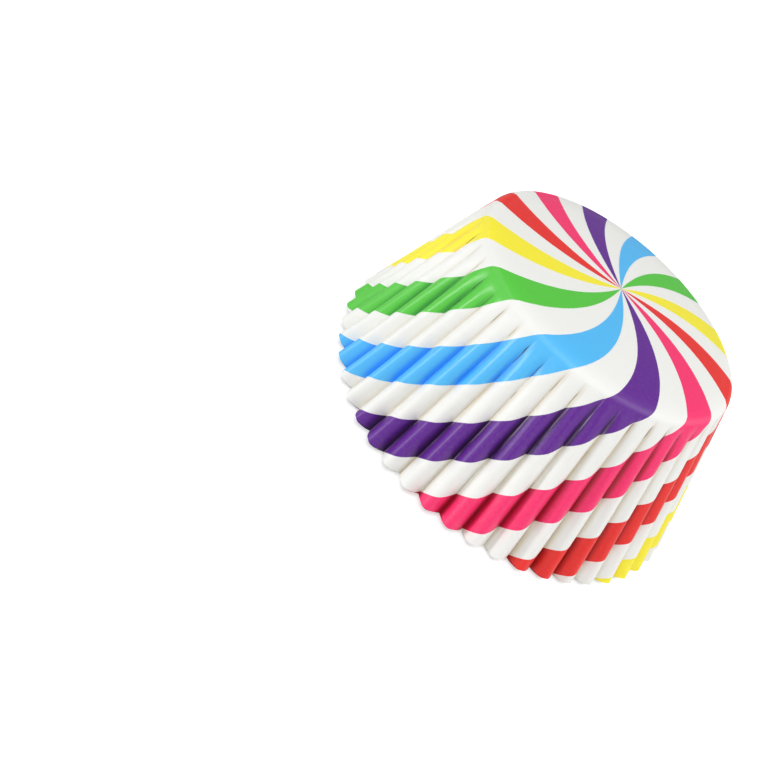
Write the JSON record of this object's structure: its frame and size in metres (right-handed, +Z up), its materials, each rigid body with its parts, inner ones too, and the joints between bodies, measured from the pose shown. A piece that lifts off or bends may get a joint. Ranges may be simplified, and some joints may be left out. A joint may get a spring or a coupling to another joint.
{
  "type": "cupcake liner stack",
  "caption": "Nested stack of fluted paper baking cups, mouth down, with rainbow stripes that swirl out from the base and run down the pleated wall.",
  "frame": {"origin": "on the axis of the cups, in the plane of the lowest mouth edge that the stack stands on", "axes": "+Z up along the axis, from the mouths to the bases; +X through the crown of a flute; the picture looks from the -Y side"},
  "size_m": [0.0714, 0.0714, 0.0324],
  "materials": {
    "printed_paper": "smooth greaseproof paper, satin, printed outside with rainbow swirl stripes"
  },
  "bodies": {
    "root": {"liner_01": "printed_paper", "liner_02": "printed_paper", "liner_03": "printed_paper", "liner_04": "printed_paper", "liner_05": "printed_paper", "liner_06": "printed_paper", "liner_07": "printed_paper", "liner_08": "printed_paper", "liner_09": "printed_paper", "liner_10": "printed_paper"}
  },
  "joints": []
}
